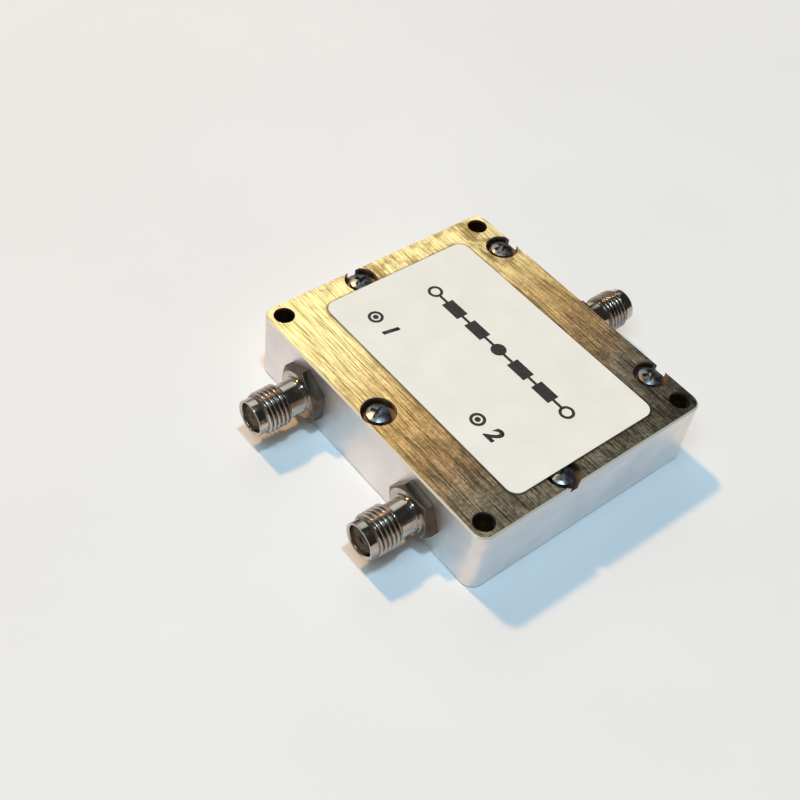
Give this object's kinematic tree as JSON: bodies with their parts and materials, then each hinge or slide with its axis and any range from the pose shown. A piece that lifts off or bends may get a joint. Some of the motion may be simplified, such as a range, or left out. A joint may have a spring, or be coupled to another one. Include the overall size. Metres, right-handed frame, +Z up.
{
  "type": "rf power splitter",
  "caption": "Flat milled aluminium box with a screwed, brushed lid and threaded coaxial jacks, which splits a radio-frequency signal between its outputs.",
  "frame": {"origin": "middle of the housing's base", "axes": "+Z up out of the lid, +Y towards the input jack, +X along the wall that carries the outputs"},
  "size_m": [0.05, 0.063, 0.0116],
  "materials": {
    "milled_aluminium": "satin milled",
    "brushed_aluminium": "brushed along the box's length",
    "screw_steel": "bright",
    "label_paper": "matte coated",
    "board_laminate": "satin",
    "copper": "bright copper",
    "resistor_ceramic": "coated",
    "solder": "bright",
    "nickel_plated_brass": "polished nickel plate",
    "ptfe": "waxy",
    "gold_plated_contact": "gold plate"
  },
  "bodies": {
    "root": {"housing": "milled_aluminium", "lid": "brushed_aluminium", "lid_screws": "screw_steel", "label": "label_paper", "circuit_board": "board_laminate", "microstrip": "copper", "isolation_resistor_1": "resistor_ceramic", "isolation_resistor_2": "resistor_ceramic", "isolation_resistor_3": "resistor_ceramic", "isolation_resistor_4": "resistor_ceramic", "board_screws": "screw_steel", "solder_joints": "solder", "output_1_jack_body": "nickel_plated_brass", "output_1_jack_dielectric": "ptfe", "output_1_jack_contact": "gold_plated_contact", "output_2_jack_body": "nickel_plated_brass", "output_2_jack_dielectric": "ptfe", "output_2_jack_contact": "gold_plated_contact", "input_jack_body": "nickel_plated_brass", "input_jack_dielectric": "ptfe", "input_jack_contact": "gold_plated_contact"}
  },
  "joints": []
}
